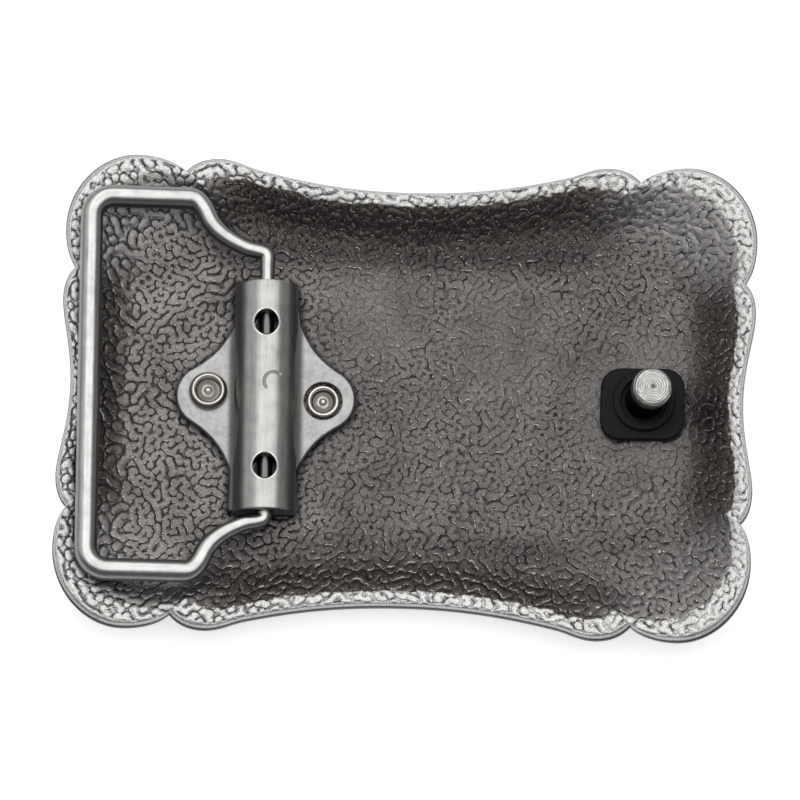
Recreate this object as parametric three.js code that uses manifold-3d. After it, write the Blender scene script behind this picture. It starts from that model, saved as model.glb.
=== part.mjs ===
// A western-style dress belt buckle, lying face down with its back up and its bail folded flat.
//
// Millimetres, +Z up and out of the buckle's back. +X runs along the buckle, from the bail to the
// belt stud, and +Y runs across the belt. The origin is the middle of the underside of the whole
// object's box, which is on the flat blank panel of the front.
import * as THREE from 'three';
import { mergeVertices } from 'three/addons/utils/BufferGeometryUtils.js';
import Module from 'manifold-3d';

// Plate levels, measured on the middle line x = 0. Both faces are bent about the Y direction.
const BEND_RADIUS = 400;
const RIM_TOP = 6.0;
const FLOOR_TOP = 2.9;
const FIELD_BOTTOM = 0.7;
const PANEL_BOTTOM = 0;
const PANEL_HALF_X = 24;
const PANEL_HALF_Y = 13.5;

// Touching pieces keep this gap.
const TOUCH_GAP = 0.3;

// Bracket: a thin sheet under the hinge barrel, with a wing to each side for its rivet. The rivets
// were set by hand, so each is a little off the middle line.
const HINGE_X = -18.2;
const BRACKET_SHIFT = -0.2;
const SHEET_BOTTOM = 0.5;
const SHEET_THICK = 0.9;
const SHEET_TOP = SHEET_BOTTOM + SHEET_THICK;
const SHEET_HALF_X = 4.35;
const SHEET_HALF_Y = 15.2;
const WING_ROOT_Y = 9.6;
const RIVET_X = 7.4;
const WING_TIP_RADIUS = 4.1;
const LEFT_RIVET_Y = 0.35;
const RIGHT_RIVET_Y = -0.4;
const RAISED_RIVET_HOLE = 2.0;
const SUNK_RIVET_HOLE = 2.45;
const RIVET_DRILL_RADIUS = 1.9;
const RIVET_DRILL_DEPTH = 1.1;

// Barrel: a half-round bar with a bore along it for the bail's two pivot pins. It sits a little
// low on the sheet, and its axis is turned a little from the buckle's Y direction.
const HINGE_YAW = THREE.MathUtils.degToRad(1.3);
const BARREL_SHIFT = -0.65;
const BARREL_RADIUS = 4.05;
const BARREL_HEIGHT = 4.4;
const BARREL_LENGTH = 30;
const BARREL_BOTTOM = SHEET_TOP + TOUCH_GAP;
const BORE_HEIGHT = 1.9;
const AXIS_Z = BARREL_BOTTOM + BORE_HEIGHT;
const BORE_RADIUS = 1.25;
const CROSS_HOLE_Y = 9.4;
const CROSS_HOLE_RADIUS = 1.5;
const CROSS_HOLE_DEPTH = 3.5;
const CROSS_HOLE_BEVEL = 0.55;

// Bail: one tapered rod bent into a C, measured outwards from the hinge axis. It rests slid a
// little along its pins, at an angle above the bracket's own level.
const BAIL_REACH = 22.7;
const BAIL_HALF_Y = 24.45;
const BAIL_CORNER = 2.8;
const BAIL_SHIFT = 0.8;
const BAIL_REST_ANGLE = THREE.MathUtils.degToRad(4.6);
const BAR_RADIUS = 1.45;
const ARM_RADIUS = 1.42;
const PIN_RADIUS = 0.95;
const PIN_END_Y = 5.6;
const PIN_STRAIGHT_Y = 16.8;

// Belt stud: its black foot stands on the back, and the shaft is off the foot's middle and leans
// outwards and a little across.
const FOOT_X = 30.3;
const FOOT_Y = 0.1;
const STUD_OFFSET_X = 0.3;
const STUD_OFFSET_Y = 0.35;
const LEAN_OUT = THREE.MathUtils.degToRad(8.4);
const LEAN_ACROSS = THREE.MathUtils.degToRad(2.7);
const FOOT_HALF_X = 5.4;
const FOOT_HALF_Y = 4.7;
const FOOT_CORNER = 2.6;
const FOOT_BEVEL = 0.25;
const FOOT_THICK = 1.0;
const FOOT_TOP = TOUCH_GAP + FOOT_THICK;
const COLLAR_OUTER = 4.0;
const COLLAR_INNER = 3.0;
const COLLAR_THICK = 0.5;
const STUD_TOP = 8.9;
const TENON_RADIUS = 1.4;
const TENON_HOLE = 1.75;
const TENON_DEPTH = 1.1;

const wasm = await Module();
wasm.setup();

// ---- helpers ----

function solidOf(geometry) {
  const bare = geometry.clone();
  bare.deleteAttribute('normal');
  bare.deleteAttribute('uv');
  const merged = mergeVertices(bare, 1e-4);
  return new wasm.Manifold(new wasm.Mesh({
    numProp: 3,
    vertProperties: merged.attributes.position.array,
    triVerts: Uint32Array.from(merged.index.array),
  }));
}

function geometryOf(solid) {
  const mesh = solid.getMesh();
  const geometry = new THREE.BufferGeometry();
  geometry.setAttribute('position', new THREE.BufferAttribute(mesh.vertProperties, 3));
  geometry.setIndex(new THREE.BufferAttribute(mesh.triVerts, 1));
  geometry.computeVertexNormals();
  return geometry;
}

// A closed skin through rings with the same number of points each, between two end points.
// Seen from the first end point, the points of every ring run clockwise.
function loft(first, rings, last) {
  const size = rings[0].length;
  const points = [first, ...rings.flat(), last];
  const end = points.length - 1;
  const index = [];
  for (let i = 0; i < size; i++) {
    const next = (i + 1) % size;
    index.push(0, 1 + next, 1 + i);
    for (let ring = 0; ring < rings.length - 1; ring++) {
      const a = 1 + ring * size;
      const b = a + size;
      index.push(a + i, b + next, b + i, a + i, a + next, b + next);
    }
    const a = 1 + (rings.length - 1) * size;
    index.push(a + i, a + next, end);
  }
  const geometry = new THREE.BufferGeometry().setFromPoints(points);
  geometry.setIndex(index);
  geometry.computeVertexNormals();
  return geometry;
}

function lathe(profile, segments = 32) {
  const points = profile.map(([radius, z]) => new THREE.Vector2(radius, z));
  return new THREE.LatheGeometry(points, segments).rotateX(Math.PI / 2);
}

function standingCylinder(radius, bottom, top, segments = 32) {
  const cylinder = new THREE.CylinderGeometry(radius, radius, top - bottom, segments);
  return cylinder.rotateX(Math.PI / 2).translate(0, 0, (bottom + top) / 2);
}

function metal(color, roughness) {
  return new THREE.MeshStandardMaterial({ color, roughness, metalness: 1 });
}

function named(name, geometry, material) {
  const mesh = new THREE.Mesh(geometry, material);
  mesh.name = name;
  return mesh;
}

// How far the bent plate rises above its middle line, and its slope, at a distance along X.
function bendRise(x) {
  return x * x / (2 * BEND_RADIUS);
}

function bendSlope(x) {
  return Math.atan(x / BEND_RADIUS);
}

// ---- plate ----

// One quarter of the scalloped edge, from the waist of a long side to the waist of a short side.
// The sharp notches are where a shoulder lobe meets the corner lobe.
function quarterEdge() {
  const curves = [
    [5, [0, 27.25], [9, 27.25], [15, 28.5], [19.8, 29.6]],
    [3, [19.8, 29.6], [21.8, 30.1], [23, 30.95], [25, 30.95]],
    [3, [25, 30.95], [27.2, 30.95], [28.5, 30.1], [29.4, 29.1]],
    [3, [29.4, 29.1], [30.6, 30.3], [33, 31.05], [35.4, 31.05]],
    [7, [35.4, 31.05], [40.2, 31.05], [44.5, 26.6], [44.5, 21]],
    [3, [44.5, 21], [44.5, 18.6], [44, 17], [43.05, 15.7]],
    [3, [43.05, 15.7], [44, 14.9], [44.5, 13.4], [44.5, 11.5]],
    [4, [44.5, 11.5], [44.4, 8.4], [43.1, 5.2], [43.1, 0]],
  ];
  const points = [];
  for (const [steps, ...controls] of curves) {
    const curve = new THREE.CubicBezierCurve(...controls.map(([x, y]) => new THREE.Vector2(x, y)));
    points.push(...curve.getPoints(steps).slice(0, -1));
  }
  points.push(new THREE.Vector2(43.1, 0));
  return points;
}

// A quarter of the smooth line where the dished wall of the back meets its floor.
function quarterFloorLine() {
  const line = new THREE.Path();
  line.moveTo(0, 18.6);
  line.bezierCurveTo(13, 18.6, 16, 20.1, 23, 20.1);
  line.bezierCurveTo(29.5, 20.1, 34.4, 16.5, 34.9, 10.5);
  line.bezierCurveTo(35.1, 8, 35, 4, 35, 0);
  return line;
}

function quarterPanelLine() {
  const line = new THREE.Path();
  line.absellipse(0, 0, PANEL_HALF_X, PANEL_HALF_Y, Math.PI / 2, 0, true);
  return line;
}

// Points of a quarter line at the same shares of its length as the edge's own points.
function matchedPoints(line, edge) {
  const lengths = [0];
  for (let i = 1; i < edge.length; i++) {
    lengths.push(lengths[i - 1] + edge[i].distanceTo(edge[i - 1]));
  }
  const total = lengths[lengths.length - 1];
  return lengths.map((length) => line.getPointAt(Math.min(length / total, 1)));
}

// The whole line from its quarter, counter-clockwise from the +X axis.
function wholeLine(quarter) {
  const inward = [...quarter].reverse();
  const first = inward.slice(0, -1);
  const second = quarter.slice(0, -1).map((p) => new THREE.Vector2(-p.x, p.y));
  const upper = [...first, ...second];
  const lower = upper.map((p) => new THREE.Vector2(-p.x, -p.y));
  return [...upper, ...lower];
}

function plateGeometry() {
  const quarter = quarterEdge();
  const edge = wholeLine(quarter);
  const floorLine = wholeLine(matchedPoints(quarterFloorLine(), quarter));
  const panel = wholeLine(matchedPoints(quarterPanelLine(), quarter));

  const bentRing = (from, to, share, z) => from.map((p, i) => {
    const q = p.clone().lerp(to[i], share);
    return new THREE.Vector3(q.x, q.y, z + bendRise(q.x));
  });
  const flatRing = (line, scale, z) => line.map((p) => (
    new THREE.Vector3(p.x * scale, p.y * scale, z)
  ));

  // Each row is the share of the way from the edge to the floor line, and the drop from the rim.
  const frontProfile = [
    [1, 5.3], [0.7, 4.6], [0.4, 2.9], [0.27, 2.0], [0.22, 2.3], [0.1, 2.6], [0, 1.9],
  ];
  const backProfile = [
    [0, 0.9], [0.05, 0.2], [0.13, 0], [0.24, 0.2], [0.42, 1.0], [0.62, 2.1], [0.82, 2.85], [1, 3.1],
  ];
  const rings = [
    flatRing(panel, 0.97, PANEL_BOTTOM),
    flatRing(panel, 1, PANEL_BOTTOM + 0.2),
    bentRing(panel, floorLine, 0.03, FIELD_BOTTOM),
    ...frontProfile.map(([share, drop]) => bentRing(edge, floorLine, share, RIM_TOP - drop)),
    ...backProfile.map(([share, drop]) => bentRing(edge, floorLine, share, RIM_TOP - drop)),
    bentRing(floorLine, floorLine.map(() => new THREE.Vector2()), 0.45, FLOOR_TOP),
  ];
  const bottom = new THREE.Vector3(0, 0, PANEL_BOTTOM);
  const top = new THREE.Vector3(0, 0, FLOOR_TOP);
  return loft(bottom, rings, top);
}

// Blind holes in the back take the stud's tenon and the two rivets.
function drilledPlate() {
  let plate = solidOf(plateGeometry());
  const drills = [...rivetDrills(), tenonDrill()];
  for (const drill of drills) {
    plate = plate.subtract(solidOf(drill));
  }
  return geometryOf(plate);
}

// ---- hinge fitting ----

// The fitting lies on the bent floor, level with it at the hinge line.
function fittingPlace() {
  const place = new THREE.Object3D();
  place.position.set(HINGE_X, 0, FLOOR_TOP + bendRise(HINGE_X));
  place.rotation.y = -bendSlope(HINGE_X);
  place.updateMatrixWorld();
  return place;
}

function rivetDrills() {
  const place = fittingPlace();
  return [[-RIVET_X, LEFT_RIVET_Y], [RIVET_X, RIGHT_RIVET_Y]].map(([x, y]) => (
    standingCylinder(RIVET_DRILL_RADIUS, -RIVET_DRILL_DEPTH, 2, 24)
      .translate(x, y, 0)
      .applyMatrix4(place.matrixWorld)
  ));
}

// The left wing fits closely round its rivet and the right wing has a wider hole.
function bracketGeometry() {
  const outline = new THREE.Shape();
  const tangentX = RIVET_X + WING_TIP_RADIUS / 2;
  const tangentY = WING_TIP_RADIUS * Math.sin(Math.PI / 3);
  for (const side of [1, -1]) {
    if (side === 1) {
      outline.moveTo(SHEET_HALF_X, -SHEET_HALF_Y);
    } else {
      outline.lineTo(-SHEET_HALF_X, SHEET_HALF_Y);
    }
    outline.lineTo(side * SHEET_HALF_X, -side * WING_ROOT_Y);
    outline.bezierCurveTo(
      side * 5.6, -side * 6.2, side * 7.7, -side * 4.6, side * tangentX, -side * tangentY,
    );
    const start = side === 1 ? -Math.PI / 3 : Math.PI * 2 / 3;
    outline.absarc(side * RIVET_X, 0, WING_TIP_RADIUS, start, start + Math.PI * 2 / 3);
    outline.bezierCurveTo(
      side * 7.7, side * 4.6, side * 5.6, side * 6.2, side * SHEET_HALF_X, side * WING_ROOT_Y,
    );
    outline.lineTo(side * SHEET_HALF_X, side * SHEET_HALF_Y);
  }
  outline.holes.push(
    circleHole(-RIVET_X, LEFT_RIVET_Y - BRACKET_SHIFT, RAISED_RIVET_HOLE),
    circleHole(RIVET_X, RIGHT_RIVET_Y - BRACKET_SHIFT, SUNK_RIVET_HOLE),
  );
  const sheet = new THREE.ExtrudeGeometry(outline, {
    depth: SHEET_THICK,
    bevelEnabled: false,
    curveSegments: 10,
  });
  return sheet.translate(0, BRACKET_SHIFT, SHEET_BOTTOM);
}

function circleHole(x, y, radius) {
  const hole = new THREE.Path();
  hole.absarc(x, y, radius, 0, Math.PI * 2, true);
  return hole;
}

function barrelGeometry() {
  const straight = BARREL_HEIGHT - BARREL_RADIUS;
  const section = new THREE.Shape();
  section.moveTo(-BARREL_RADIUS, 0);
  section.lineTo(BARREL_RADIUS, 0);
  section.lineTo(BARREL_RADIUS, straight);
  section.absarc(0, straight, BARREL_RADIUS, 0, Math.PI);
  const bar = new THREE.ExtrudeGeometry(section, {
    depth: BARREL_LENGTH,
    bevelEnabled: false,
    curveSegments: 18,
  });
  bar.rotateX(Math.PI / 2).translate(0, BARREL_LENGTH / 2, BARREL_BOTTOM);
  const bore = new THREE.CylinderGeometry(BORE_RADIUS, BORE_RADIUS, BARREL_LENGTH + 2, 20);
  bore.translate(0, 0, AXIS_Z);
  let barrel = solidOf(bar).subtract(solidOf(bore));
  const top = BARREL_BOTTOM + BARREL_HEIGHT;
  for (const side of [-1, 1]) {
    const hole = lathe([
      [0, top - CROSS_HOLE_DEPTH],
      [CROSS_HOLE_RADIUS, top - CROSS_HOLE_DEPTH],
      [CROSS_HOLE_RADIUS, top - CROSS_HOLE_BEVEL / 2],
      [CROSS_HOLE_RADIUS + CROSS_HOLE_BEVEL, top + CROSS_HOLE_BEVEL / 2],
      [0, top + CROSS_HOLE_BEVEL / 2],
    ], 20);
    hole.translate(0, side * CROSS_HOLE_Y, 0);
    barrel = barrel.subtract(solidOf(hole));
  }
  return geometryOf(barrel);
}

// A tubular rivet whose flared ring stands proud of the sheet round a cup with a centre pip.
function raisedRivetGeometry() {
  const seat = SHEET_TOP + TOUCH_GAP;
  return lathe([
    [0, -0.8], [1.5, -0.8], [1.6, -0.7], [1.6, seat], [2.4, seat], [2.45, seat + 0.3],
    [2.1, seat + 0.8], [1.85, seat + 0.9], [1.65, seat + 0.7], [1.45, seat + 0.05],
    [0.55, seat - 0.05], [0.35, seat + 0.3], [0, seat + 0.4],
  ], 20);
}

// The other rivet ends inside the sheet's wider hole, level with the sheet.
function sunkRivetGeometry() {
  const top = SHEET_TOP;
  return lathe([
    [0, -0.8], [1.5, -0.8], [1.6, -0.7], [1.6, 0.5], [2.1, 0.75], [2.1, top - 0.2],
    [1.9, top], [1.7, top], [1.5, top - 0.2], [1.35, top - 0.75], [0.5, top - 0.8],
    [0.35, top - 0.5], [0, top - 0.42],
  ], 20);
}

// ---- bail ----

// Half of the rod's middle line, from the middle of the bar to the end of one pivot pin.
// The first number is the distance out from the hinge axis and the second is along it.
function halfBailLine() {
  const bendX = BAIL_REACH - BAIL_CORNER;
  const bendY = BAIL_HALF_Y - BAIL_CORNER;
  const line = new THREE.Path();
  line.moveTo(BAIL_REACH, 0);
  line.lineTo(BAIL_REACH, bendY);
  line.absarc(bendX, bendY, BAIL_CORNER, 0, Math.PI / 2);
  line.lineTo(10.2, BAIL_HALF_Y);
  line.bezierCurveTo(8.9, BAIL_HALF_Y, 8.2, 23.2, 7.6, 21.9);
  line.bezierCurveTo(6.9, 20.4, 5.2, 19.1, 2.8, 18.15);
  line.bezierCurveTo(1.3, 17.56, 0, 17.9, 0, PIN_STRAIGHT_Y);
  line.lineTo(0, PIN_END_Y);
  return line;
}

// The rod's radius at a place on it: full in the bar, thinner along the arms and least in the pins.
function rodRadius(out, across) {
  if (out < 0.05 && across < PIN_STRAIGHT_Y) {
    return PIN_RADIUS;
  }
  const alongArm = THREE.MathUtils.smoothstep(out, 9, BAIL_REACH - 1);
  const alongBend = THREE.MathUtils.smoothstep(out, 2, 11);
  const arm = THREE.MathUtils.lerp(ARM_RADIUS, BAR_RADIUS, alongArm);
  return THREE.MathUtils.lerp(PIN_RADIUS + 0.05, arm, alongBend);
}

// Places along a curve path, few on its straight pieces and more on its bends.
function placesAlong(line) {
  const places = [];
  for (const curve of line.curves) {
    const steps = curve.isLineCurve ? 3 : 6;
    for (let i = 0; i < steps; i++) {
      places.push({ point: curve.getPoint(i / steps), tangent: curve.getTangent(i / steps) });
    }
  }
  const last = line.curves[line.curves.length - 1];
  places.push({ point: last.getPoint(1), tangent: last.getTangent(1) });
  return places;
}

function bailGeometry() {
  const sides = 12;
  const half = placesAlong(halfBailLine());
  const mirrored = half.slice(1).reverse().map(({ point, tangent }) => ({
    point: new THREE.Vector2(point.x, -point.y),
    tangent: new THREE.Vector2(-tangent.x, tangent.y),
  }));
  const rings = [...mirrored, ...half].map(({ point, tangent }) => {
    const radius = rodRadius(point.x, Math.abs(point.y));
    const ring = [];
    for (let i = 0; i < sides; i++) {
      const angle = 2 * Math.PI * i / sides;
      const outward = radius * Math.cos(angle);
      ring.push(new THREE.Vector3(
        -(point.x + tangent.y * outward),
        point.y - tangent.x * outward,
        radius * Math.sin(angle),
      ));
    }
    return ring;
  });
  const start = new THREE.Vector3(0, -PIN_END_Y, 0);
  const end = new THREE.Vector3(0, PIN_END_Y, 0);
  return loft(start, rings, end);
}

// ---- belt stud ----

function studPlace() {
  const place = new THREE.Object3D();
  place.position.set(FOOT_X, FOOT_Y, FLOOR_TOP + bendRise(FOOT_X));
  place.rotation.y = -bendSlope(FOOT_X);
  place.updateMatrixWorld();
  return place;
}

// The stud leans about the middle of its collar.
function leaning(geometry) {
  const pivot = FOOT_TOP + TOUCH_GAP + COLLAR_THICK / 2;
  geometry.translate(0, 0, -pivot);
  geometry.rotateX(-LEAN_ACROSS);
  geometry.rotateY(LEAN_OUT + bendSlope(FOOT_X));
  return geometry.translate(STUD_OFFSET_X, STUD_OFFSET_Y, pivot);
}

function tenonDrill() {
  const drill = leaning(standingCylinder(TENON_HOLE, -TENON_DEPTH, 4, 24));
  return drill.applyMatrix4(studPlace().matrixWorld);
}

function footGeometry() {
  const x = FOOT_HALF_X - FOOT_BEVEL;
  const y = FOOT_HALF_Y - FOOT_BEVEL;
  const r = FOOT_CORNER - FOOT_BEVEL;
  const outline = new THREE.Shape();
  outline.moveTo(-x + r, -y);
  outline.lineTo(x - r, -y);
  outline.absarc(x - r, -y + r, r, -Math.PI / 2, 0);
  outline.lineTo(x, y - r);
  outline.absarc(x - r, y - r, r, 0, Math.PI / 2);
  outline.lineTo(-x + r, y);
  outline.absarc(-x + r, y - r, r, Math.PI / 2, Math.PI);
  outline.lineTo(-x, -y + r);
  outline.absarc(-x + r, -y + r, r, Math.PI, Math.PI * 3 / 2);
  const slab = new THREE.ExtrudeGeometry(outline, {
    depth: FOOT_THICK - 2 * FOOT_BEVEL,
    bevelSize: FOOT_BEVEL,
    bevelThickness: FOOT_BEVEL,
    bevelSegments: 2,
    curveSegments: 8,
  });
  slab.translate(0, 0, TOUCH_GAP + FOOT_BEVEL);
  const hole = leaning(standingCylinder(TENON_HOLE, -2, 4, 24));
  return geometryOf(solidOf(slab).subtract(solidOf(hole)));
}

function collarGeometry() {
  const bottom = FOOT_TOP + TOUCH_GAP;
  const top = bottom + COLLAR_THICK;
  return lathe([
    [COLLAR_INNER, bottom], [COLLAR_OUTER, bottom], [COLLAR_OUTER, top - 0.15],
    [COLLAR_OUTER - 0.15, top], [COLLAR_INNER, top], [COLLAR_INNER, bottom],
  ], 28).translate(STUD_OFFSET_X, STUD_OFFSET_Y, 0);
}

function studGeometry() {
  const shaft = leaning(lathe([
    [0, 0], [2.5, 0], [2.5, 2.6], [2.2, 4.4], [2.15, 6.6], [2.4, 7.2], [2.4, STUD_TOP - 0.35],
    [2.15, STUD_TOP], [0.35, STUD_TOP], [0.25, STUD_TOP + 0.15], [0, STUD_TOP + 0.15],
  ], 24));
  const below = new THREE.BoxGeometry(12, 12, 6).translate(0, 0, FOOT_TOP + TOUCH_GAP - 3);
  const tenon = leaning(standingCylinder(TENON_RADIUS, -0.6, 3, 24));
  return geometryOf(solidOf(shaft).subtract(solidOf(below)).add(solidOf(tenon)));
}

// ---- the buckle ----

const agedCast = metal(0x6b6967, 0.5);
const sheetSteel = metal(0xa3a2a0, 0.4);
const barrelSteel = metal(0xa9a8a5, 0.33);
const bailSteel = metal(0x9c9b98, 0.34);
const rivetSteel = metal(0x9a9994, 0.35);
const blackSteel = metal(0x1c1c1d, 0.3);
const turnedSteel = metal(0xb4b3ae, 0.3);

const buckle = new THREE.Group();
buckle.add(named('plate', drilledPlate(), agedCast));

const fitting = new THREE.Group();
fitting.position.copy(fittingPlace().position);
fitting.rotation.copy(fittingPlace().rotation);
const leftRivet = named('rivet_left', raisedRivetGeometry(), rivetSteel);
leftRivet.position.set(-RIVET_X, LEFT_RIVET_Y, 0);
const rightRivet = named('rivet_right', sunkRivetGeometry(), rivetSteel);
rightRivet.position.set(RIVET_X, RIGHT_RIVET_Y, 0);
fitting.add(named('hinge_bracket', bracketGeometry(), sheetSteel), leftRivet, rightRivet);
buckle.add(fitting);

const hinge = new THREE.Group();
hinge.rotation.z = HINGE_YAW;
const barrel = named('hinge_barrel', barrelGeometry(), barrelSteel);
barrel.position.y = BARREL_SHIFT;
const bail = named('bail', bailGeometry(), bailSteel);
bail.position.set(0, BAIL_SHIFT, AXIS_Z);
bail.rotation.y = BAIL_REST_ANGLE;
hinge.add(barrel, bail);
fitting.add(hinge);

const studFitting = new THREE.Group();
studFitting.position.copy(studPlace().position);
studFitting.rotation.copy(studPlace().rotation);
studFitting.add(
  named('stud_foot', footGeometry(), blackSteel),
  named('stud_collar', collarGeometry(), blackSteel),
  named('belt_stud', studGeometry(), turnedSteel),
);
buckle.add(studFitting);

export default buckle;
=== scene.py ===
import math

import bmesh
import bpy
import numpy as np
from mathutils import Euler, Matrix, Vector


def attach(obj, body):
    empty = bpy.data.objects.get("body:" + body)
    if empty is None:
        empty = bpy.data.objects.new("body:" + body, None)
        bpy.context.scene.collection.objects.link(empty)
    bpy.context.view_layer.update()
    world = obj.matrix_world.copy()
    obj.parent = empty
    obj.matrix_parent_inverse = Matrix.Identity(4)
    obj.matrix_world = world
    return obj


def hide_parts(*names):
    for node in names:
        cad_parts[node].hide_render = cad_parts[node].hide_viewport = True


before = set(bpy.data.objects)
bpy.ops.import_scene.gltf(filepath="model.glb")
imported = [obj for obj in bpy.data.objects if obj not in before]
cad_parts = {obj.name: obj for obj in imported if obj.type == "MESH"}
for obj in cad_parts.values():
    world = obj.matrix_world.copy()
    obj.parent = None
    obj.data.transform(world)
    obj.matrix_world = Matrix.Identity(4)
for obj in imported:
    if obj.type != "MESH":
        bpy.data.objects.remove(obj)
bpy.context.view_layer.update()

# A western-style dress belt buckle, face down with its back up. Lengths are in millimetres until
# a mesh is made, and the frame is the CAD's: +X from the bail to the stud, +Y across the belt.
MM = 0.001

# Plate levels on the middle line, and the bend of both faces about the Y direction.
BEND_RADIUS = 400.0
RIM_TOP = 6.0
FLOOR_TOP = 2.9
FIELD_BOTTOM = 0.7
PANEL_HALF = (24.0, 13.5)

# Hinge fitting.
HINGE_X = -18.2
HINGE_YAW = math.radians(1.3)
BRACKET_SHIFT = -0.2
SHEET_BOTTOM = 0.5
SHEET_TOP = 1.4
SHEET_HALF = (4.35, 15.2)
WING_ROOT_Y = 9.6
WING_TIP_RADIUS = 4.1
RIVET_X = 7.4
LEFT_RIVET_Y = 0.35
RIGHT_RIVET_Y = -0.4
RAISED_RIVET_HOLE = 2.0
SUNK_RIVET_HOLE = 2.45
BARREL_SHIFT = -0.65
BARREL_RADIUS = 4.05
BARREL_HEIGHT = 4.4
BARREL_LENGTH = 30.0
BARREL_BOTTOM = 1.7
AXIS_Z = BARREL_BOTTOM + 1.9
BORE_RADIUS = 1.25
CROSS_HOLE_Y = 9.4
CROSS_HOLE_RADIUS = 1.5
CROSS_HOLE_DEPTH = 3.5
CROSS_HOLE_BEVEL = 0.55

# Bail, measured outwards from the hinge axis.
BAIL_REACH = 22.7
BAIL_HALF_Y = 24.45
BAIL_CORNER = 2.8
BAIL_SHIFT = 0.8
BAIL_REST_ANGLE = math.radians(4.6)
BAR_RADIUS = 1.45
ARM_RADIUS = 1.42
PIN_RADIUS = 0.95
PIN_END_Y = 5.6
PIN_STRAIGHT_Y = 16.8

# Belt stud and its foot.
FOOT_PLACE = (30.3, 0.1)
FOOT_HALF = (5.4, 4.7)
FOOT_CORNER = 2.6
FOOT_TOP = 1.3
STUD_OFFSET = (0.3, 0.35)
LEAN_OUT = math.radians(8.4)
LEAN_ACROSS = math.radians(2.7)
COLLAR_BOTTOM = 1.6
COLLAR_TOP = 2.1
STUD_TOP = 8.9

# The grid that the cast pattern is worked out on, and the spacing of its small and large islands.
GRID_STEP = 0.1
GRID_HALF = (48.0, 35.0)
FINE_WAVE = 1.08
COARSE_WAVE = 1.5

FINE = 1.0


# ---- shared helpers ----

def shifted(x, y, z):
    """A move in millimetres."""
    return Matrix.Translation((x * MM, y * MM, z * MM))


def millimetres(matrix, x, y, z):
    """Where a matrix takes a point, both in millimetres."""
    return matrix @ Vector((x * MM, y * MM, z * MM)) / MM


def bend_rise(x):
    return x * x / (2 * BEND_RADIUS)


def bend_slope(x):
    return math.atan(x / BEND_RADIUS)


def bent(flat, level):
    """Flat points at a level, raised by the plate's bend."""
    return np.column_stack([flat, level + bend_rise(flat[:, 0])])


def smooth_step(value, low, high):
    share = np.clip((value - low) / (high - low), 0, 1)
    return share * share * (3 - 2 * share)


def distance_along(line):
    """The distance from a polyline's start to each of its points."""
    return np.concatenate([[0], np.cumsum(np.hypot(*np.diff(line, axis=0).T))])


def evenly(line, count):
    """`count` + 1 places along a polyline, the same distance apart."""
    gone = distance_along(line)
    wanted = np.linspace(0, gone[-1], count + 1)
    return np.stack([np.interp(wanted, gone, line[:, axis]) for axis in (0, 1)], axis=1)


def cubic(*controls, count=200):
    t = np.linspace(0, 1, count + 1)[:, None]
    a, b, c, d = (np.array(p, float) for p in controls)
    return a * (1 - t) ** 3 + 3 * b * t * (1 - t) ** 2 + 3 * c * t * t * (1 - t) + d * t ** 3


def arc(centre, radius, start, end, count=60):
    angle = np.linspace(start, end, count + 1)
    return np.stack([centre[0] + radius * np.cos(angle), centre[1] + radius * np.sin(angle)], axis=1)


def joined(*lines):
    """One polyline from several that meet end to end."""
    return np.concatenate([lines[0]] + [line[1:] for line in lines[1:]])


def grid_faces(rows, columns, first=0, wrap=False):
    """Quads of a grid of vertices, row after row; wrapped, the last column meets the first."""
    across = columns if wrap else columns - 1
    row, column = np.meshgrid(np.arange(rows - 1), np.arange(across), indexing="ij")
    following = (column + 1) % columns
    a = first + row * columns + column
    b = first + row * columns + following
    return np.stack([a, b, b + columns, a + columns], axis=-1).reshape(-1, 4)


def mesh_piece(name, points, faces, matrix=None):
    """A smooth-shaded object from points in millimetres and their faces."""
    mesh = bpy.data.meshes.new(name)
    mesh.from_pydata([tuple(p) for p in np.asarray(points) * MM], [], [tuple(f) for f in faces])
    if matrix is not None:
        mesh.transform(matrix)
    mesh.shade_smooth()
    mesh.update()
    piece = bpy.data.objects.new(name, mesh)
    bpy.context.collection.objects.link(piece)
    return piece


def lathe(profile, sides=128, first=0):
    """Points and faces of a profile of (radius, height) turned about Z, capped on the axis."""
    angle = np.linspace(0, 2 * math.pi, sides, endpoint=False)
    rows = [np.stack([r * np.cos(angle), r * np.sin(angle), np.full(sides, z)], axis=1) for r, z in profile]
    return np.concatenate(rows), grid_faces(len(profile), sides, first, wrap=True)


def rounded(profile, radius, steps=5):
    """The profile with each inner corner replaced by a small curve."""
    points = [np.array(p, float) for p in profile]
    result = [points[0]]
    for before, corner, after in zip(points, points[1:], points[2:]):
        into, out = before - corner, after - corner
        reach = min(radius, np.linalg.norm(into) * 0.45, np.linalg.norm(out) * 0.45)
        start = corner + into / np.linalg.norm(into) * reach
        end = corner + out / np.linalg.norm(out) * reach
        for t in np.linspace(0, 1, steps + 1):
            result.append(start * (1 - t) ** 2 + corner * 2 * t * (1 - t) + end * t * t)
    result.append(points[-1])
    return result


def sharp_by_angle(piece, degrees):
    piece.data.set_sharp_from_angle(angle=math.radians(degrees))


def dress(piece, material, node):
    """Gives a piece its material, puts it on its body and hides the CAD node that it stands for."""
    piece.data.materials.clear()
    piece.data.materials.append(material)
    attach(piece, "bail" if node == "bail" else "buckle")
    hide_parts(node)


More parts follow.
